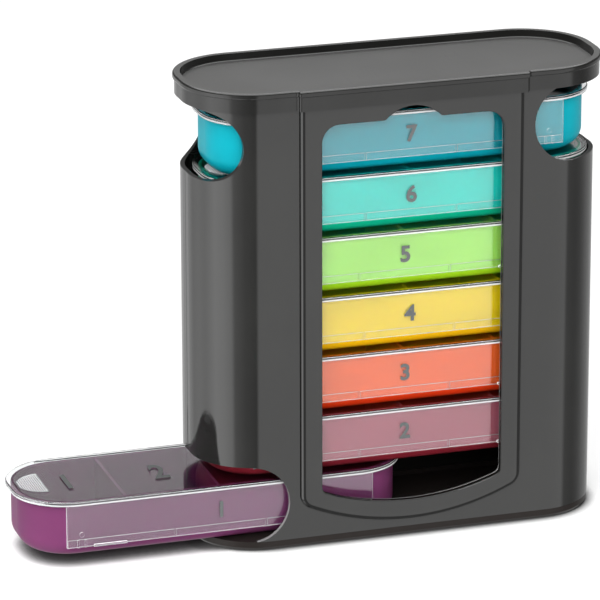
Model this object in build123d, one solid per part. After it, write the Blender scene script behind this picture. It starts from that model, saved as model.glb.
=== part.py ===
from build123d import *
import os

# Weekly pill tower: an oval housing with a stack of seven drawers, each under a clear sliding lid.
# Millimetres. X runs along the drawers, -Y is the window side, Z is up, and the origin is the
# middle of the face that the housing stands on.

# Housing
BODY_LENGTH = 164.6
BODY_DEPTH = 57.8
BODY_CORNER = 25.5
WALL = 1.8
SHELL_LOW = 3.7
SHELL_HIGH = 180.8
LAP_REACH = 1.5           # how far the rear shell's tongue reaches past the seam
LAP_WALL = 0.85
SEAM_CHAMFER = 0.35

# Window bezel on the front shell
BEZEL_HALF_WIDTH = 45.2
BEZEL_LOW = 7.0
BEZEL_THICK = 2.0
BEZEL_ARC = 100.0
BEZEL_CORNER = 6.0
BEZEL_FLANK = (0.95, 1.3)     # the side leans in this far, over this much of the thickness
BEZEL_BEVEL = (1.75, 0.3)     # shallow border round the front: width, fall
SHADOW_GAP = 0.4
WINDOW_HALF_WIDTH = 36.8
WINDOW_LOW = 15.4
WINDOW_HIGH = 170.6
WINDOW_ARC = 100.0
WINDOW_TOP_CORNER = 7.0
WINDOW_LOW_CORNER = 3.0
NOTCH_HALF_WIDTH = 12.0   # finger arch in the window's top edge: sloping sides and a bowed top
NOTCH_TOP_HALF = 6.85
NOTCH_SHOULDER = 3.4
NOTCH_RISE = 5.0
NOTCH_BLEND = 1.2

# End openings, cut through both shells: centre X, centre Z, radius
EXIT_OPENING = (-65.0, 19.0, 15.5)
REFILL_OPENING = (66.0, 162.8, 15.8)
PUSH_OPENING = (-80.8, 162.5, 13.9)

# Tray cap
CAP_LOW = 177.4
CAP_HIGH = 185.5
CAP_BAND = 2.0            # band stands this far out from the housing
CAP_BEAD = 2.7
CAP_BEAD_HEIGHT = 2.5
CAP_FIT = 0.15
TRAY_FLOOR = 182.4
TRAY_INSET = 0.3
TRAY_FILLET = 0.75
CAP_STEP_FILLET = 1.0
CAP_STEP_FLARE = 0.5      # share of the cap's offset that the step takes up sideways

# Base plate
BASE_HIGH = 3.7
BASE_INSET = 0.25
BASE_CHAMFER = 1.3
BASE_RING_WIDTH = 4.0
BASE_RECESS = 0.8
LIP_HIGH = 5.4
LIP_THICK = 1.0

# Drawers
PITCH = 24.15
FIRST_FLOOR = 3.8
DRAWER_LENGTH = 152.8
DRAWER_DEPTH = 47.0
DRAWER_CORNER = 20.1
DRAWER_HEIGHT = 22.2
DRAWER_WALL = 1.5
DRAWER_FLOOR = 1.4
DRAWER_FOOT_FILLET = 7.0
CAVITY_FILLET = 5.5
RIM_FILLET = 0.35
DIVIDER_SPACING = 37.7
DIVIDER_THICK = 1.2
DIVIDER_DROP = 0.45
GROOVE_LOW = 4.1
GROOVE_HIGH = 8.2
GROOVE_DEPTH = 0.6
GROOVE_HALF_LENGTH = 64.0

# Lids
LID_LENGTH = 157.0
LID_DEPTH = 51.8
LID_CORNER = 22.3
LID_TOP = 23.9
LID_EDGE = 0.6
SKIRT_HALF_LENGTH = 62.0
SKIRT_INNER = 23.8
SKIRT_OUTER = 25.0
SKIRT_LOW = 5.0
LIP_HOOK = 0.6
LIP_HOOK_HIGH = 7.8
NOTCH_X = 18.5            # slits that let the hooked lip flex
NOTCH_WIDTH = 0.8
CATCH_X = 56.2
CATCH_Z = 10.3
CATCH_RADIUS = 1.0
CATCH_PROUD = 0.35
CATCH_RIB_WIDTH = 0.8
CATCH_RIB_SPREAD = 1.5
PULL_TAB = (38.3, 51.5)   # X span of the finger tabs under the skirt
PULL_TAB_HEIGHT = 0.9
PULL_TAB_PROUD = 0.85
THUMB_X = -65.0           # straight side of the D-shaped thumb patch
THUMB_RADIUS = 10.3
THUMB_DEPTH = 0.8
THUMB_RIBS = 11
THUMB_RIB_WIDTH = 0.42
THUMB_RIB_PITCH = 0.86
THUMB_RIB_LOW = 0.1       # ribs end this far under the lid's top

# Where each drawer stands along X, from the bottom of the stack up
STACK = [
    ("saturday", -76.2),
    ("friday", -1.1),
    ("thursday", -1.1),
    ("wednesday", 0.8),
    ("tuesday", -1.2),
    ("monday", 1.2),
    ("sunday", 1.2),
]


def slab(length, depth, corner, low, high):
    """Upright block with a rounded rectangular outline."""
    return extrude(Plane.XY.offset(low) * RectangleRounded(length, depth, corner), high - low)


def body_slab(offset, low, high):
    """Block whose outline is the housing's, moved outwards by offset."""
    return slab(BODY_LENGTH + 2 * offset, BODY_DEPTH + 2 * offset, BODY_CORNER + offset, low, high)


def span_box(x0, x1, y0, y1, z0, z1):
    """Box between two corners."""
    return Pos((x0 + x1) / 2, (y0 + y1) / 2, (z0 + z1) / 2) * Box(x1 - x0, y1 - y0, z1 - z0)


def end_cut(opening, side):
    """Round-nosed slot that runs out through one end of the housing."""
    x, z, radius = opening
    nose = Pos(x, 0, z) * Rot(90, 0, 0) * Cylinder(radius, 2 * BODY_DEPTH)
    far = side * BODY_LENGTH
    tail = span_box(min(x, far), max(x, far), -BODY_DEPTH, BODY_DEPTH, z - radius, z + radius)
    return nose + tail


def arched_sketch(half_width, low, high, arc):
    """Upright panel outline with straight sides, a flat top and a bottom edge that sags in an arc."""
    block = Pos(0, (low + high) / 2) * Rectangle(2 * half_width, high - low)
    disc = Pos(0, low + arc) * Circle(arc)
    return block & disc


def corner_points(sketch, wanted):
    """Vertices of a flat sketch that the test accepts."""
    return [v for v in sketch.vertices() if wanted(v)]


def finger_arch():
    """Outline of the finger arch above the window's top edge."""
    run = (NOTCH_HALF_WIDTH - NOTCH_TOP_HALF) / NOTCH_SHOULDER
    peak_half = NOTCH_HALF_WIDTH - run * NOTCH_RISE
    corners = [(-NOTCH_HALF_WIDTH, 0), (NOTCH_HALF_WIDTH, 0)]
    corners += [(peak_half, NOTCH_RISE), (-peak_half, NOTCH_RISE)]
    bow = NOTCH_RISE - NOTCH_SHOULDER
    radius = (NOTCH_TOP_HALF ** 2 + bow ** 2) / (2 * bow)
    sides = Polygon(*corners, align=None)
    return sides & (Pos(0, NOTCH_RISE - radius) * Circle(radius))


def window_sketch(grow):
    """Window outline: rounded top corners, finger arch, sagging bottom edge, all moved out by grow."""
    shape = arched_sketch(WINDOW_HALF_WIDTH, WINDOW_LOW, WINDOW_HIGH, WINDOW_ARC)
    shape = fillet(corner_points(shape, lambda v: v.Y > WINDOW_HIGH - 1), WINDOW_TOP_CORNER)
    shape = fillet(corner_points(shape, lambda v: v.Y < WINDOW_HIGH / 2), WINDOW_LOW_CORNER)
    shape = shape + Pos(0, WINDOW_HIGH) * finger_arch()
    bends = corner_points(shape, lambda v: v.Y > WINDOW_HIGH - 0.01 and abs(v.X) < NOTCH_HALF_WIDTH + 1)
    shape = fillet(bends, NOTCH_BLEND)
    return offset(shape, grow) if grow else shape


def front_plate(sketch, inner, outer):
    """Turn an upright sketch into a plate between two distances in front of the middle plane."""
    return extrude(Plane.XZ.offset(inner) * sketch, outer - inner)


def housing_ring():
    """Wall of both shells, with the end openings cut."""
    ring = body_slab(0, SHELL_LOW, SHELL_HIGH) - body_slab(-WALL, SHELL_LOW, SHELL_HIGH)
    ring -= end_cut(EXIT_OPENING, -1)
    ring -= end_cut(REFILL_OPENING, 1)
    ring -= end_cut(PUSH_OPENING, -1)
    return ring


def lap_zone(clearance):
    """Inner half of the wall just in front of the seam, where the rear shell's tongue goes."""
    inner_wall = body_slab(LAP_WALL - WALL + clearance, SHELL_LOW, SHELL_HIGH)
    reach = LAP_REACH + clearance
    return inner_wall & span_box(-BODY_LENGTH, BODY_LENGTH, -reach, 0, SHELL_LOW, SHELL_HIGH)


def seam_groove():
    """V-shaped groove down the outside of the seam at both ends."""
    side = SEAM_CHAMFER * 2 ** 0.5
    groove = Part()
    for x in (-BODY_LENGTH / 2, BODY_LENGTH / 2):
        groove += Pos(x, 0, (SHELL_LOW + SHELL_HIGH) / 2) * Rot(0, 0, 45) * Box(side, side, SHELL_HIGH)
    return groove


def front_shell():
    """Window-side half of the housing."""
    half = housing_ring() & span_box(-BODY_LENGTH, BODY_LENGTH, -BODY_DEPTH, 0, 0, 2 * SHELL_HIGH)
    half -= lap_zone(0.1)
    half -= front_plate(window_sketch(0.5), BODY_DEPTH / 4, BODY_DEPTH)
    return half - seam_groove()


def rear_shell():
    """Back half of the housing, with a tongue that laps inside the front shell."""
    ring = housing_ring()
    half = ring & span_box(-BODY_LENGTH, BODY_LENGTH, 0, BODY_DEPTH, 0, 2 * SHELL_HIGH)
    return half + (ring & lap_zone(0)) - seam_groove()


def bezel_sketch(shrink):
    """Outline of the raised window surround."""
    shape = arched_sketch(BEZEL_HALF_WIDTH - shrink, BEZEL_LOW + shrink, SHELL_HIGH, BEZEL_ARC - shrink)
    return fillet(corner_points(shape, lambda v: v.Y < BODY_DEPTH), BEZEL_CORNER - shrink)


def bevel(plate, widths):
    """Chamfer a plate's front outline, all but its top edge: width on the front face, fall behind it."""
    face = plate.faces().sort_by(Axis.Y)[0]
    rim = [e for e in face.edges() if e.center().Z < SHELL_HIGH - 1]
    return chamfer(rim, widths[0], widths[1], reference=face)


def window_bezel():
    """Raised surround: leaning sides, a shallow border bevel, a shadow gap where it meets the shell."""
    seat = BODY_DEPTH / 2
    plate = front_plate(bezel_sketch(0), seat + SHADOW_GAP, seat + BEZEL_THICK)
    plate = bevel(plate, BEZEL_FLANK)
    plate = bevel(plate, BEZEL_BEVEL)
    plate += front_plate(bezel_sketch(SHADOW_GAP), seat, seat + 2 * SHADOW_GAP)
    plate -= front_plate(window_sketch(0), 0, BODY_DEPTH)
    opening_edges = plate.faces().sort_by(Axis.Y)[0].inner_wires()[0].edges()
    return fillet(opening_edges, SHADOW_GAP)


def cap_sketch(offset):
    """Outline of the cap: the housing's oval with a step out over the window surround."""
    oval = RectangleRounded(BODY_LENGTH + 2 * offset, BODY_DEPTH + 2 * offset, BODY_CORNER + offset)
    front = BODY_DEPTH / 2 + BEZEL_THICK + offset
    half_width = BEZEL_HALF_WIDTH + CAP_FIT + CAP_STEP_FLARE * (offset - CAP_FIT)
    step = Pos(0, -front / 2) * Rectangle(2 * half_width, front)
    shape = oval + step
    near_step = corner_points(shape, lambda v: abs(abs(v.X) - half_width) < 0.01)
    return fillet(near_step, CAP_STEP_FILLET)


def cap_block(offset, low, high):
    """Block with the cap's outline."""
    return extrude(Plane.XY.offset(low) * cap_sketch(offset), high - low)


def tray_cap():
    """Shallow tray that caps both shells, with a rounded bead round its rim."""
    band = cap_block(CAP_BAND, CAP_LOW, CAP_HIGH - CAP_BEAD_HEIGHT / 2)
    bead = cap_block(CAP_BEAD, CAP_HIGH - CAP_BEAD_HEIGHT, CAP_HIGH)
    bead = fillet(bead.edges().filter_by(GeomType.LINE, reverse=True) + flat_lines(bead), 0.9)
    tray = cap_block(-TRAY_INSET, TRAY_FLOOR, 2 * CAP_HIGH - TRAY_FLOOR)
    floor_edges = tray.faces().sort_by(Axis.Z)[0].edges()
    tray = fillet(floor_edges, TRAY_FILLET)
    pocket = cap_block(CAP_FIT, CAP_LOW, SHELL_HIGH)
    return band + bead - tray - pocket


def flat_lines(solid):
    """Straight edges that lie level, leaving out the upright ones."""
    return solid.edges().filter_by(Axis.X) + solid.edges().filter_by(Axis.Y)


def base_plate():
    """Floor of the housing: stands on a ring and locates inside the shells with a low lip."""
    plate = body_slab(-BASE_INSET, 0, BASE_HIGH)
    plate = chamfer(plate.faces().sort_by(Axis.Z)[0].edges(), BASE_CHAMFER)
    plate -= body_slab(-BASE_CHAMFER - BASE_RING_WIDTH, 0, BASE_RECESS)
    outer = WALL + CAP_FIT
    lip = body_slab(-outer, BASE_HIGH, LIP_HIGH) - body_slab(-outer - LIP_THICK, BASE_HIGH, LIP_HIGH)
    exit_x = EXIT_OPENING[0] + EXIT_OPENING[2] + 1
    lip -= span_box(-BODY_LENGTH, exit_x, -BODY_DEPTH, BODY_DEPTH, 0, 2 * LIP_HIGH)
    return plate + lip


def drawer():
    """Boat-shaped drawer with four compartments and a hook groove along each long side."""
    outer = slab(DRAWER_LENGTH, DRAWER_DEPTH, DRAWER_CORNER, 0, DRAWER_HEIGHT)
    outer = fillet(outer.faces().sort_by(Axis.Z)[0].edges(), DRAWER_FOOT_FILLET)
    inside = (DRAWER_LENGTH - 2 * DRAWER_WALL, DRAWER_DEPTH - 2 * DRAWER_WALL, DRAWER_CORNER - DRAWER_WALL)
    cavity = slab(*inside, DRAWER_FLOOR, DRAWER_HEIGHT)
    cavity = fillet(cavity.faces().sort_by(Axis.Z)[0].edges(), CAVITY_FILLET)
    divider_high = DRAWER_HEIGHT - DIVIDER_DROP
    for i in (-1, 0, 1):
        x = i * DIVIDER_SPACING
        half = DIVIDER_THICK / 2
        cavity -= span_box(x - half, x + half, -DRAWER_DEPTH, DRAWER_DEPTH, 0, divider_high)
    body = outer - cavity
    rim = body.faces().sort_by(Axis.Z)[-1]
    body = fillet(rim.edges(), RIM_FILLET)
    groove_y = DRAWER_DEPTH / 2 - GROOVE_DEPTH
    for side in (-1, 1):
        low, high = sorted((side * groove_y, side * DRAWER_DEPTH))
        body -= span_box(-GROOVE_HALF_LENGTH, GROOVE_HALF_LENGTH, low, high, GROOVE_LOW, GROOVE_HIGH)
    return body


def thumb_patch():
    """D-shaped recess near the lid's left end, less the ribs that stand in it."""
    low = LID_TOP - THUMB_DEPTH
    disc = Pos(THUMB_X, 0, (low + LID_TOP) / 2) * Cylinder(THUMB_RADIUS, THUMB_DEPTH)
    patch = disc & span_box(THUMB_X - 2 * THUMB_RADIUS, THUMB_X, -DRAWER_DEPTH, DRAWER_DEPTH, 0, LID_TOP)
    for i in range(THUMB_RIBS):
        x = THUMB_X - (i + 0.75) * THUMB_RIB_PITCH
        half = THUMB_RIB_WIDTH / 2
        patch -= span_box(x - half, x + half, -DRAWER_DEPTH, DRAWER_DEPTH, low, LID_TOP - THUMB_RIB_LOW)
    return patch


def skirt(side):
    """One hanging side of the lid, drawn for +Y and mirrored for the window side."""
    reach = SKIRT_HALF_LENGTH
    wall = span_box(-reach, reach, SKIRT_INNER, SKIRT_OUTER, SKIRT_LOW, DRAWER_HEIGHT + 0.5)
    hook = span_box(-reach + 0.5, reach - 0.5, SKIRT_INNER - LIP_HOOK, SKIRT_INNER, SKIRT_LOW, LIP_HOOK_HIGH)
    for sign in (-1, 1):
        x = sign * NOTCH_X
        hook -= span_box(x - NOTCH_WIDTH / 2, x + NOTCH_WIDTH / 2, 0, SKIRT_INNER, 0, LID_TOP)
    wall += hook
    for sign in (-1, 1):
        x = sign * CATCH_X
        boss = Pos(x, SKIRT_OUTER, CATCH_Z) * Rot(90, 0, 0) * Cylinder(CATCH_RADIUS, 2 * CATCH_PROUD)
        wall += boss
        for spread in (-CATCH_RIB_SPREAD, CATCH_RIB_SPREAD):
            half = CATCH_RIB_WIDTH / 2
            centre = x + spread
            outer = SKIRT_OUTER + CATCH_PROUD
            wall += span_box(centre - half, centre + half, SKIRT_OUTER, outer, SKIRT_LOW, GROOVE_HIGH)
        low, high = sorted((sign * PULL_TAB[0], sign * PULL_TAB[1]))
        outer = SKIRT_OUTER + PULL_TAB_PROUD
        wall += span_box(low, high, SKIRT_OUTER, outer, SKIRT_LOW, SKIRT_LOW + PULL_TAB_HEIGHT)
    return wall if side > 0 else mirror(wall, Plane.XZ)


def lid():
    """Clear sliding lid: oval plate, two hooked skirts and a ribbed thumb patch."""
    plate = slab(LID_LENGTH, LID_DEPTH, LID_CORNER, DRAWER_HEIGHT, LID_TOP)
    plate = fillet(plate.faces().sort_by(Axis.Z)[-1].edges(), LID_EDGE)
    plate -= thumb_patch()
    return plate + skirt(1) + skirt(-1)


def save(name, shape, x=0.0, z=0.0):
    """Write one piece at its place."""
    export_step(Pos(x, 0, z) * shape, f"parts/{name}.step")


os.makedirs("parts", exist_ok=True)
save("front_shell", front_shell())
save("rear_shell", rear_shell())
save("window_bezel", window_bezel())
save("tray_cap", tray_cap())
save("base_plate", base_plate())
one_drawer = drawer()
one_lid = lid()
for level, (day, x) in enumerate(STACK):
    z = FIRST_FLOOR + level * PITCH
    save(f"{day}_drawer", one_drawer, x, z)
    save(f"{day}_lid", one_lid, x, z)
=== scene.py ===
import math

import bpy
from mathutils import Matrix, Vector


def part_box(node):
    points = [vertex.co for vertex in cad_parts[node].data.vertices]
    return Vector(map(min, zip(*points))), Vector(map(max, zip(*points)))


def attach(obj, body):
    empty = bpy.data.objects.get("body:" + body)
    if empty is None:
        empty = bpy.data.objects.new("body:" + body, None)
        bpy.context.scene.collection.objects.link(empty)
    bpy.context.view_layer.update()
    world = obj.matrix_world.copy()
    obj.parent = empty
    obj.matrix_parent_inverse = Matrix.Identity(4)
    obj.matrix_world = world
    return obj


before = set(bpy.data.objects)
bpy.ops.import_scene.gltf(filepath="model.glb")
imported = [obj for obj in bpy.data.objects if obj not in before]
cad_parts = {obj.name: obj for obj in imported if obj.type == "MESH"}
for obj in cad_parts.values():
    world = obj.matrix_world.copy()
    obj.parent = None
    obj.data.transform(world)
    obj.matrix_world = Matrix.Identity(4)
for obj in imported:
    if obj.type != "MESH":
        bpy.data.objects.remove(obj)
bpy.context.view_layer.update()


# ---------------------------------------------------------------- the housing's two shells
# Two deep halves of an oval tube, injection moulded in black styrene and clipped together at the
# ends. The tool was polished, so the plastic is glossy, with a faint orange peel and a little haze.

MM = 0.001
JET = (0.008, 0.008, 0.0075, 1)
JET_WORN = (0.012, 0.012, 0.011, 1)
POLISH = (0.05, 0.09)         # roughness where it is clean, and where hands have hazed it
PEEL = 2.0e-6                 # depth of the orange peel, in metres
BRINK = -26.8 * MM            # the cut faces of the front wall lie in front of this plane
# painted highlight: the cut faces at the openings take this paler grey, so they show as bright outlines
BRINK_HIGHLIGHT_GREY = (0.40, 0.40, 0.40, 1)
BRINK_HIGHLIGHT_SHARE = 0.6


class Wire:
    """One value inside a material. Arithmetic on it adds the Math nodes that work it out."""

    def __init__(self, recipe, socket):
        self.recipe = recipe
        self.socket = socket

    def math(self, operation, *values):
        return self.recipe.node("Math", {"operation": operation}, dict(enumerate(values)))

    def __add__(self, other):
        return self.math("ADD", self, other)

    def __sub__(self, other):
        return self.math("SUBTRACT", self, other)

    def __rsub__(self, other):
        return self.math("SUBTRACT", other, self)

    def __mul__(self, other):
        return self.math("MULTIPLY", self, other)

    def __abs__(self):
        return self.math("ABSOLUTE", self)

    __radd__ = __add__
    __rmul__ = __mul__

    def or_more(self, other):
        """The larger of two values."""
        return self.math("MAXIMUM", self, other)

    def above(self, low, high):
        """0 up to low, 1 from high on, smooth in between."""
        return self.recipe.node("MapRange", {"interpolation_type": "SMOOTHSTEP"},
                                {"Value": self, "From Min": low, "From Max": high})

    def below(self, low, high):
        """1 up to low, 0 from high on, smooth in between."""
        return 1 - self.above(low, high)


class Recipe:
    """A material, or the world, that is built up node by node."""

    def __init__(self, owner):
        self.owner = owner
        owner.use_nodes = True
        self.tree = owner.node_tree
        self.tree.nodes.clear()

    def node(self, kind, settings=None, inputs=None, output=0):
        """Adds a node, first its settings and then the values or links of its sockets."""
        made = self.tree.nodes.new("ShaderNode" + kind)
        for name, value in (settings or {}).items():
            if name == "stops":
                self.set_stops(made.color_ramp.elements, value)
            else:
                setattr(made, name, value)
        for name, value in (inputs or {}).items():
            if isinstance(value, Wire):
                self.tree.links.new(value.socket, made.inputs[name])
            else:
                made.inputs[name].default_value = value
        return Wire(self, made.outputs[output]) if made.outputs else None

    def set_stops(self, elements, stops):
        while len(elements) < len(stops):
            elements.new(1.0)
        for element, (place, grey) in zip(elements, stops):
            element.position = place
            element.color = (grey, grey, grey, 1.0)

    def place(self):
        """Object coordinates, which on every piece are the real place in metres."""
        return self.node("TexCoord", output="Object")

    def facing(self):
        """The direction that the surface faces."""
        return self.node("NewGeometry", output="Normal")

    def split(self, vector):
        """The X, Y and Z of a vector."""
        first = self.node("SeparateXYZ", inputs={"Vector": vector})
        return [Wire(self, socket) for socket in first.socket.node.outputs]

    def noise(self, size, detail, roughness=0.5, stretch=None):
        """Noise between 0 and 1, with features about size metres across."""
        place = self.place()
        if stretch:
            place = self.node("Mapping", inputs={"Vector": place, "Scale": stretch})
        inputs = {"Vector": place, "Scale": 1.0 / size, "Detail": detail, "Roughness": roughness}
        return self.node("TexNoise", inputs=inputs)

    def mix(self, share, first, second, blend="MIX"):
        """Blend of two colours."""
        settings = {"data_type": "RGBA", "blend_type": blend}
        return self.node("Mix", settings, {0: share, 6: first, 7: second}, output=2)

    def bump(self, height, depth):
        """Relief of the given depth in metres."""
        return self.node("Bump", inputs={"Height": height, "Distance": depth, "Strength": 1.0})

    def plastic(self, **sockets):
        """Principled shader. An underscore in a socket's name stands for a space."""
        inputs = {name.replace("_", " "): value for name, value in sockets.items()}
        return self.node("BsdfPrincipled", inputs=inputs)

    def close(self, shader):
        """Joins the shader to the output, and gives back the finished material or world."""
        kind = "OutputWorld" if isinstance(self.owner, bpy.types.World) else "OutputMaterial"
        self.node(kind, inputs={"Surface": shader})
        return self.owner


def finish(node, material):
    """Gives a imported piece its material."""
    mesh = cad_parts[node].data
    mesh.materials.clear()
    mesh.materials.append(material)


def moulded_black(r, highlight_share):
    """Glossy black, hazed where hands go, with a fine peel, and a painted highlight in paler grey on the
    cut edges at the openings.
    """
    haze = r.noise(38 * MM, detail=4).above(0.42, 0.72)
    fine = r.noise(0.55 * MM, detail=2)
    flow = r.noise(9 * MM, detail=3, stretch=(1.0, 1.0, 0.35))
    _, y, _ = r.split(r.place())
    _, frontward, _ = r.split(r.facing())
    # painted highlight on the cut faces of the front wall's openings
    brink_highlight = y.below(BRINK, BRINK + 0.2 * MM) * abs(frontward).below(0.2, 0.4)
    colour = r.mix(haze * 0.6 + fine * 0.25, JET, JET_WORN)
    colour = r.mix(brink_highlight * highlight_share, colour, BRINK_HIGHLIGHT_GREY)
    clean, hazed = POLISH
    rough = clean + haze * (hazed - clean) + fine * 0.02
    relief = r.bump(fine * 0.6 + flow * 2.4, PEEL)
    return r.plastic(Base_Color=colour, Roughness=rough, Normal=relief, IOR=1.5)


def shell_black():
    r = Recipe(bpy.data.materials.new("shell_black"))
    return r.close(moulded_black(r, BRINK_HIGHLIGHT_SHARE))


SHELL_BLACK = shell_black()
finish("front_shell", SHELL_BLACK)
finish("rear_shell", SHELL_BLACK)


# ---------------------------------------------------------------- the raised window surround
# A frame two millimetres proud of the front shell, moulded in the same black plastic. A shallow bevel
# borders it and its sides lean in.
# The outer part of the bevel and the foot of the sides are painted matt and dark as painted shade, which
# draws a fine shadow line where it meets the shell.

BEVEL = (-30.78 * MM, -30.56 * MM)      # between these planes lies the outer part of the bevel
CREVICE = (-29.9 * MM, -28.0 * MM)      # and between these the foot of the leaning sides
SHADE_FADE = 0.03 * MM
PAINTED_SHADE_SHARE = 0.7
PAINTED_SHADE_BLACK = (0.004, 0.004, 0.004, 1)


def bezel_black():
    """The shells' plastic, with painted shade that makes it matt and dark in the bevel and the crevice."""
    r = Recipe(bpy.data.materials.new("bezel_black"))
    _, y, _ = r.split(r.place())
    # painted shade: the bevel's outer part and the crevice are blended to a matt near-black
    painted_shade = sum(y.above(front, front + SHADE_FADE) * y.below(back, back + SHADE_FADE)
               for front, back in (BEVEL, CREVICE))
    matt = r.node("BsdfDiffuse", inputs={"Color": PAINTED_SHADE_BLACK})
    glossy = moulded_black(r, highlight_share=0.0)
    return r.close(r.node("MixShader", inputs={0: painted_shade * PAINTED_SHADE_SHARE, 1: glossy, 2: matt}))


finish("window_bezel", bezel_black())


# ---------------------------------------------------------------- the tray cap
# The lid of the tower, pressed over both shells: a band with a rounded bead, and a flat tray floor
# sunk three millimetres below it. The tray floor is a touch more matt from things laid on it.

LEVEL = (0.9, 0.99)           # a face is level where its normal's Z is above these
CAP_BLACK = (0.006, 0.006, 0.0055, 1)
# painted light: the level tray floor takes this lighter grey, for the light that falls on it from above
TRAY_PAINTED_LIGHT_GREY = (0.046, 0.046, 0.045, 1)
SCUFF_X = (1.1 * MM, (0.06, 1.0, 1.0))  # hairline scuffs along X: their width, and how they stretch
SCUFF_Y = (1.3 * MM, (1.0, 0.08, 1.0))  # and those along Y


def scuffed_black():
    """The cap's plastic, with hairline scuffs and painted light on the level tray floor only."""
    r = Recipe(bpy.data.materials.new("tray_black"))
    _, _, up = r.split(r.facing())
    level = up.above(*LEVEL)
    patches = r.noise(30 * MM, detail=4).above(0.4, 0.7)
    fine = r.noise(0.5 * MM, detail=2)
    along_x = r.noise(SCUFF_X[0], detail=2, stretch=SCUFF_X[1]).above(0.66, 0.72)
    along_y = r.noise(SCUFF_Y[0], detail=2, stretch=SCUFF_Y[1]).above(0.67, 0.73)
    scuffs = (along_x + along_y) * level
    # painted light: level faces are lightened towards the tray grey
    colour = r.mix(0.1 * patches + 0.1 * scuffs + 0.8 * level, CAP_BLACK, TRAY_PAINTED_LIGHT_GREY)
    rough = 0.10 + level * 0.36 + patches * 0.03 + scuffs * 0.04
    relief = r.bump(fine * 0.5 - scuffs * 0.3, PEEL)
    return r.close(r.plastic(Base_Color=colour, Roughness=rough, Normal=relief, IOR=1.43))


finish("tray_cap", scuffed_black())


# ---------------------------------------------------------------- the base plate
# The floor of the housing, a flat moulding snapped in from below. It was not polished like the
# shells, so it is a satin brown-black, and its standing ring has picked up rubs from the table.

BASE_BROWN = (0.014, 0.011, 0.010, 1)
BASE_RUBBED = (0.040, 0.036, 0.033, 1)
RUB_HIGH = (0.1 * MM, 1.2 * MM)         # the rubs fade out over this height
GRAIN_DEPTH = 6.0e-6


def satin_base():
    """Satin brown-black, rubbed lighter along the ring that it stands on."""
    r = Recipe(bpy.data.materials.new("base_satin"))
    _, _, z = r.split(r.place())
    grain = r.noise(0.35 * MM, detail=3)
    rubs = r.noise(2.5 * MM, detail=4).above(0.5, 0.7) * z.below(*RUB_HIGH)
    colour = r.mix(rubs * 0.7 + grain * 0.2, BASE_BROWN, BASE_RUBBED)
    rough = 0.34 + grain * 0.08 + rubs * 0.12
    relief = r.bump(grain, GRAIN_DEPTH)
    return r.close(r.plastic(Base_Color=colour, Roughness=rough, Normal=relief, IOR=1.5,
                             Specular_IOR_Level=0.12))


finish("base_plate", satin_base())


# ---------------------------------------------------------------- the seven drawers
# Boat-shaped trays with four compartments, each day in its own colour. They are thin-walled
# polypropylene, dyed through, so the colour is deep and the surface softer than the housing's.

DRAWER_COLOUR = {             # bottom up: the walls as lit, and the bottom band and ends in painted shade, a deeper colour
    "saturday": ((0.185, 0.046, 0.134), (0.165, 0.040, 0.118)),
    "friday": ((0.410, 0.105, 0.150), (0.190, 0.014, 0.024)),
    "thursday": ((0.920, 0.140, 0.020), (0.640, 0.035, 0.005)),
    "wednesday": ((0.900, 0.660, 0.004), (0.820, 0.450, 0.004)),
    "tuesday": ((0.400, 0.840, 0.130), (0.330, 0.620, 0.012)),
    "monday": ((0.008, 0.660, 0.560), (0.003, 0.400, 0.230)),
    "sunday": ((0.002, 0.330, 0.400), (0.002, 0.310, 0.380)),
}
FOOT_SHADE_TOP = (3.2 * MM, 6.2 * MM)         # the painted shade fades out over this height
FLAT_HALF = (62.0 * MM, 63.0 * MM)      # and comes back past the ends of the flat sides
STREAK_SHADE = (0.90, 0.90, 0.90, 1)
NO_SHADE = (1, 1, 1, 1)
SKIN_DEPTH = 2.5e-6


def dyed_plastic(name, lit_wall, shaded_foot, underside, middle):
    """Dyed plastic with slow flow streaks and a fine skin, with painted shade that deepens its colour at
    the bottom and round its ends.
    """
    r = Recipe(bpy.data.materials.new(name))
    x, _, z = r.split(r.place())
    streaks = r.noise(14 * MM, detail=3, stretch=(0.35, 1.0, 1.0))
    fine = r.noise(0.6 * MM, detail=2)
    # painted shade: the bottom band and the rounded ends take the deeper, shaded colour, and the flat sides
    # above it the lit one
    lit_flat_side = (z - underside).above(*FOOT_SHADE_TOP) * abs(x - middle).below(*FLAT_HALF)
    colour = r.mix(lit_flat_side, (*shaded_foot, 1), (*lit_wall, 1))
    shade = r.mix(streaks.above(0.3, 0.7), STREAK_SHADE, NO_SHADE)
    colour = r.mix(1.0, colour, shade, blend="MULTIPLY")
    rough = 0.30 + streaks * 0.06 + fine * 0.04
    relief = r.bump(fine + streaks * 1.5, SKIN_DEPTH)
    return r.close(r.plastic(Base_Color=colour, Roughness=rough, Normal=relief, IOR=1.48,
                             Specular_IOR_Level=0.06, Subsurface_Weight=0.10, Subsurface_Scale=0.6 * MM))


for day, (lit_wall, shaded_foot) in DRAWER_COLOUR.items():
    low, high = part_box(f"{day}_drawer")
    middle = (low.x + high.x) / 2
    finish(f"{day}_drawer", dyed_plastic(f"{day}_plastic", lit_wall, shaded_foot, low.z, middle))


# ---------------------------------------------------------------- the seven clear lids
# Crystal-clear styrene covers that slide on the drawers' grooves: a flat plate with two long skirts,
# whose hooked edges, catches and ribbed thumb patch all show through the plastic.

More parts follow.
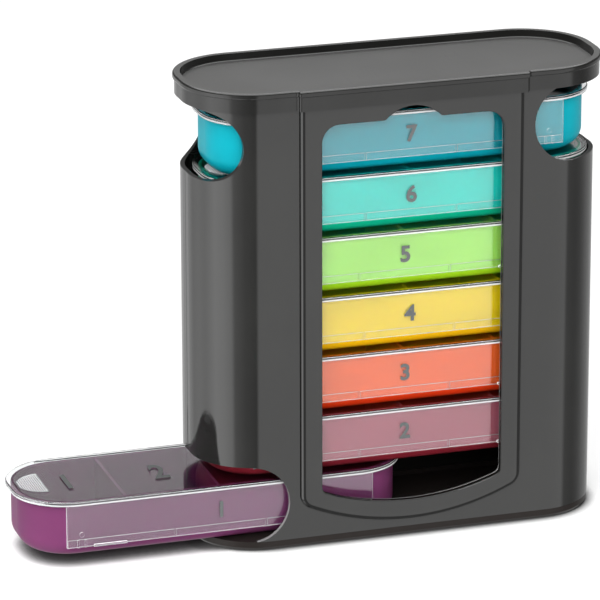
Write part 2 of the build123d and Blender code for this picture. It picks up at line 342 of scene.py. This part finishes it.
PLATE = 1.7 * MM              # thickness of the lid's plate
EDGE_BAND = 0.6 * MM          # the band round the plate's edge that takes the painted glint
EDGE_FADE = 0.2 * MM
HOOK_TOP = 3.2 * MM           # the hooks reach this far above the skirts' lower edge
SKIRT_FACE = 25.0 * MM        # half the distance over the skirts
RIB_TOPS = (0.16 * MM, 0.12 * MM, 0.07 * MM, 0.04 * MM)   # how far they lie under the lid's top
TURNED = (0.5, 0.8)           # a face is turned away from an axis where its normal has less of it
SQUARE_ON = (0.8, 0.95)       # and square to that axis where its normal has more of it
CLEAR_TINT = (0.975, 0.985, 0.99, 1)
# painted highlight: white that stands in for the glints along the lids' narrow edges, hems, ribs and
# catches
GLINT_WHITE = (0.93, 0.94, 0.95, 1)
EDGE_GLINT = 0.5                   # how strongly the edges take the painted glint
CATCH_GLINT = 0.9             # and the outlines of the catches and finger tabs
RIPPLE_DEPTH = 6.0e-6


def frosty_edges(r, low, high):
    """How much painted glint each place of a lid gets, given the height of its lowest and highest point."""
    _, y, z = r.split(r.place())
    endward, frontward, upward = r.split(r.facing())
    under = high - PLATE
    skirt = z.below(under - 1.5 * EDGE_FADE, under)
    rim = z.above(under, under + EDGE_FADE) * z.below(under + EDGE_BAND, under + 1.5 * EDGE_BAND)
    rim = rim + 0.8 * z.above(high - EDGE_BAND, high - 0.4 * EDGE_BAND)
    rim = rim * abs(upward).below(*TURNED)
    ends = skirt * abs(endward).above(*SQUARE_ON)
    hems = z.below(low + HOOK_TOP, low + 2 * HOOK_TOP) * abs(upward).above(*SQUARE_ON)
    deep, rise, fall, shallow = RIB_TOPS
    ribs = z.above(high - deep, high - rise) * z.below(high - fall, high - shallow) * upward.above(*LEVEL)
    catches = abs(y).above(SKIRT_FACE + 0.02 * MM, SKIRT_FACE + 0.08 * MM) * skirt
    catches = catches * abs(frontward).below(*TURNED)
    edges = rim.or_more(ends).or_more(hems).or_more(ribs)
    return (edges * EDGE_GLINT).or_more(catches * CATCH_GLINT)


def clear_plastic(name, low, high):
    """Clear styrene, polished, with a painted white glint on its narrow edges, hems, ribs and catches."""
    r = Recipe(bpy.data.materials.new(name))
    ripple = r.noise(7 * MM, detail=2)
    smears = r.noise(18 * MM, detail=5, roughness=0.6).above(0.55, 0.75)
    polished = r.plastic(Base_Color=CLEAR_TINT, Roughness=0.012 + smears * 0.03, IOR=1.58,
                         Transmission_Weight=1.0, Normal=r.bump(ripple, RIPPLE_DEPTH))
    painted_glint = r.node("BsdfDiffuse", inputs={"Color": GLINT_WHITE, "Roughness": 0.5})
    # painted highlight: a white matt shader is mixed in on the edges
    share = frosty_edges(r, low, high)
    return r.close(r.node("MixShader", inputs={0: share, 1: polished, 2: painted_glint}))


for day in DRAWER_COLOUR:
    low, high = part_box(f"{day}_lid")
    finish(f"{day}_lid", clear_plastic(f"{day}_clear", low.z, high.z))


# ---------------------------------------------------------------- the printed numbers
# Screen printed in grey ink, a few hundredths of a millimetre thick: the drawer's number on the
# front skirt, and the number of each compartment on the lid's top, to be read from the front.

INK = 0.04 * MM
INK_SPREAD = 0.028            # how much fatter than the font it prints, as a share of the size
SKIRT_NUMBER = 9.0 * MM       # size of the numbers on the skirts
SKIRT_NUMBER_UP = 14.2 * MM   # their middle, above the drawer's underside
LID_NUMBER = 13.0 * MM
LID_NUMBER_TALL = 1.6         # drawn tall, to be read at a slant
LID_NUMBER_Y = -2.0 * MM
COMPARTMENT_MIDDLES = [-56.0 * MM, -18.9 * MM, 18.9 * MM, 56.0 * MM]
PINHOLES = (0.30, 0.36)
THIN_COVER, FULL_COVER = 0.76, 0.92


def ink(name, grey):
    """Matt ink with pinholes where the screen left it thin."""
    r = Recipe(bpy.data.materials.new(name))
    weave = r.noise(0.25 * MM, detail=2)
    cover = weave.above(*PINHOLES) * (FULL_COVER - THIN_COVER) + THIN_COVER
    thick = (grey * 0.8, grey * 0.9, grey * 0.9, 1)
    thin = (grey * 1.25, grey * 1.3, grey * 1.3, 1)
    colour = r.mix(weave, thick, thin)
    return r.close(r.plastic(Base_Color=colour, Roughness=0.55 + weave * 0.1, Alpha=cover))


def deselect_all():
    bpy.ops.object.select_all(action="DESELECT")


def number(value, size, centre, upright=False, tall=1.0):
    """One printed number, centred on a point, flat on the lid or upright on its front skirt."""
    deselect_all()
    bpy.ops.object.text_add()
    text = bpy.context.object.data
    text.body = str(value)
    text.size = size
    text.align_x = "CENTER"
    text.align_y = "CENTER"
    text.offset = size * INK_SPREAD
    text.extrude = INK / 2
    text.resolution_u = 6
    bpy.ops.object.convert(target="MESH")
    shape = bpy.context.object
    low = Vector(map(min, *(v.co for v in shape.data.vertices)))
    high = Vector(map(max, *(v.co for v in shape.data.vertices)))
    shape.data.transform(Matrix.Translation(-(low + high) / 2))
    shape.data.transform(Matrix.Scale(tall, 4, (0, 1, 0)))
    if upright:
        shape.data.transform(Matrix.Rotation(math.radians(90), 4, "X"))
    shape.data.transform(Matrix.Translation(centre))
    return shape


def print_on(lid, name, numbers, material):
    """Makes one piece of the printed numbers, and lets it ride on the lid."""
    deselect_all()
    for shape in numbers:
        shape.select_set(True)
    bpy.context.view_layer.objects.active = numbers[0]
    if len(numbers) > 1:
        bpy.ops.object.join()
    piece = bpy.context.object
    piece.name = name
    piece.data.name = name
    piece.data.materials.clear()
    piece.data.materials.append(material)
    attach(piece, lid)


SKIRT_INK = ink("skirt_ink", 0.10)
LID_INK = ink("lid_ink", 0.035)
for day_number, day in enumerate(DRAWER_COLOUR, start=1):
    lid = f"{day}_lid"
    low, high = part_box(lid)
    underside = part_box(f"{day}_drawer")[0].z
    middle = (low.x + high.x) / 2
    front = Vector((middle, -SKIRT_FACE - INK / 2, underside + SKIRT_NUMBER_UP))
    print_on(lid, f"{day}_skirt_number", [number(day_number, SKIRT_NUMBER, front, upright=True)], SKIRT_INK)
    tops = []
    for compartment, x in enumerate(COMPARTMENT_MIDDLES, start=1):
        top = Vector((middle + x, LID_NUMBER_Y, high.z + INK / 2))
        tops.append(number(compartment, LID_NUMBER, top, tall=LID_NUMBER_TALL))
    print_on(lid, f"{day}_lid_numbers", tops, LID_INK)


# ---------------------------------------------------------------- the table top
# A white sheet under the tower. It is staged: it takes the shadow and isn't a part. A narrow contact shadow
# is painted in where things stand on it, and the camera sees it a little brighter than it is lit.

FLOOR_SIZE = 12.0
FLOOR_WHITE = (0.86, 0.86, 0.86, 1)
FLOOR_CLOUD = (0.8514, 0.8514, 0.8514, 1)
CONTACT = 7 * MM              # reach of the painted contact shadow
CONTACT_SHADOW_GREY = (0.10, 0.10, 0.10, 1)
OPEN = (0.36, 0.92)           # how open to the light a place is, at the line's dark and its pale side
FLOOR_LIFT = 0.20


def table_top():
    r = Recipe(bpy.data.materials.new("table_top"))
    cloudy = r.noise(400 * MM, detail=2)
    # painted contact shadow: the floor's colour darkens where little light reaches
    unshaded = r.node("AmbientOcclusion", {"samples": 8}, {"Distance": CONTACT}, output="AO").above(*OPEN)
    colour = r.mix(unshaded, CONTACT_SHADOW_GREY, r.mix(cloudy, FLOOR_WHITE, FLOOR_CLOUD))
    seen = r.node("LightPath", output="Is Camera Ray")
    through = r.node("LightPath", output="Is Transmission Ray")
    lift = (seen + through) * FLOOR_LIFT * unshaded
    lit = r.node("BsdfDiffuse", inputs={"Color": colour})
    glow = r.node("Emission", inputs={"Color": (1, 1, 1, 1), "Strength": lift})
    return r.close(r.node("AddShader", inputs={0: lit, 1: glow}))


deselect_all()
bpy.ops.mesh.primitive_plane_add(size=FLOOR_SIZE)
floor = bpy.context.object
floor.name = "table_top"
floor.data.materials.append(table_top())
floor.visible_glossy = False


# ---------------------------------------------------------------- the studio and its lamps
# What glossy plastic mirrors: a bright box to the left, a paler one ahead, gaps between them, a dark
# wall above the table's height and a box overhead. Matt surfaces are lit by a white room instead.

STUDIO = [                    # bearing in degrees from straight ahead, to the right positive; brightness
    (-180, 0.85), (-142, 1.0), (-122, 1.75), (-106, 2.05), (-98, 2.45), (-84, 3.25), (-68, 3.15),
    (-53, 2.55), (-47, 1.15), (-28, 0.62), (-9, 0.38), (-5, 1.72), (51, 1.72), (58, 0.62), (64, 0.54),
    (76, 0.40), (88, 0.46), (108, 0.68), (138, 0.62), (180, 0.85),
]
STUDIO_PEAK = 4.0             # the scale that the ramp's greys are a share of
WALL_GREY = (0.055, 0.055, 0.055, 1)
WALL_RISES = (-0.03, 0.10)    # the height of the direction looked in, where the wall takes over
OVERHEAD_WHITE = (1.25, 1.25, 1.25, 1)
OVERHEAD_RISES = (0.50, 0.75)
ROOM_LIGHT = 0.85
ROOM_SIDE = 0.70              # how much more of it comes from the left, and less from the right
LAMP_SIZE = 0.9
LAMP_AIM = Vector((0, 0, 0.08))


def studio():
    world = bpy.data.worlds.new("studio")
    r = Recipe(world)
    x, y, up = r.split(r.node("TexCoord", output="Generated"))
    turn = x.math("ARCTAN2", x, y * -1.0) * (0.5 / math.pi) + 0.5
    stops = [((bearing + 180) / 360, brightness / STUDIO_PEAK) for bearing, brightness in STUDIO]
    boxes = r.node("ValToRGB", {"stops": stops}, {"Fac": turn})
    boxes = r.mix(up.above(*WALL_RISES), boxes, WALL_GREY)
    boxes = r.mix(up.above(*OVERHEAD_RISES), boxes, OVERHEAD_WHITE)
    side = (1 - x * ROOM_SIDE) * ROOM_LIGHT
    mirrored = r.node("Background", inputs={"Color": boxes, "Strength": STUDIO_PEAK})
    white = r.node("Background", inputs={"Color": (1, 1, 1, 1), "Strength": 1.0})
    room = r.node("Background", inputs={"Color": (1, 1, 1, 1), "Strength": side})
    glossy = r.node("LightPath", output="Is Glossy Ray")
    seen = r.node("LightPath", output="Is Camera Ray")
    through = r.node("LightPath", output="Is Transmission Ray")
    unseen = r.node("MixShader", inputs={0: glossy, 1: room, 2: mirrored})
    return r.close(r.node("MixShader", inputs={0: seen.or_more(through), 1: unseen, 2: white}))


def soft_box(name, place, power):
    """A square area lamp that faces the tower."""
    deselect_all()
    bpy.ops.object.light_add(type="AREA", location=place)
    lamp = bpy.context.object
    lamp.name = name
    lamp.data.size = LAMP_SIZE
    lamp.data.energy = power
    lamp.rotation_euler = (LAMP_AIM - Vector(place)).to_track_quat("-Z", "Y").to_euler()
    lamp.visible_glossy = False
    lamp.visible_camera = False


bpy.context.scene.world = studio()
soft_box("key_box", (-0.60, -1.15, 1.0), power=19.0)
soft_box("fill_box", (0.10, -1.35, 0.8), power=7.0)


# ---------------------------------------------------------------- the camera
# A long lens at the front left, almost two metres off and looking down on the tower, with its target a
# little to the left of the tower's middle, because the lowest drawer stands out there.

CAMERA_AZIMUTH = math.radians(-17.643)
CAMERA_ELEVATION = math.radians(18.175)
CAMERA_ROLL = math.radians(0.138)
CAMERA_DISTANCE = 1.7943
CAMERA_TARGET = Vector((-0.03607, 0.0, 0.09158))
CAMERA_LENS = 275.4
CAMERA_SENSOR = 36.0
CAMERA_REACH = (0.1, 50.0)

deselect_all()
bpy.ops.object.camera_add()
camera = bpy.context.object
back = Vector((math.sin(CAMERA_AZIMUTH) * math.cos(CAMERA_ELEVATION),
               -math.cos(CAMERA_AZIMUTH) * math.cos(CAMERA_ELEVATION),
               math.sin(CAMERA_ELEVATION)))
camera.location = CAMERA_TARGET + back * CAMERA_DISTANCE
aim = (-back).to_track_quat("-Z", "Y").to_matrix().to_4x4()
camera.rotation_euler = (aim @ Matrix.Rotation(-CAMERA_ROLL, 4, "Z")).to_euler()
camera.data.lens = CAMERA_LENS
camera.data.sensor_width = CAMERA_SENSOR
camera.data.clip_start, camera.data.clip_end = CAMERA_REACH
bpy.context.scene.camera = camera
bpy.context.scene.view_settings.view_transform = "Standard"
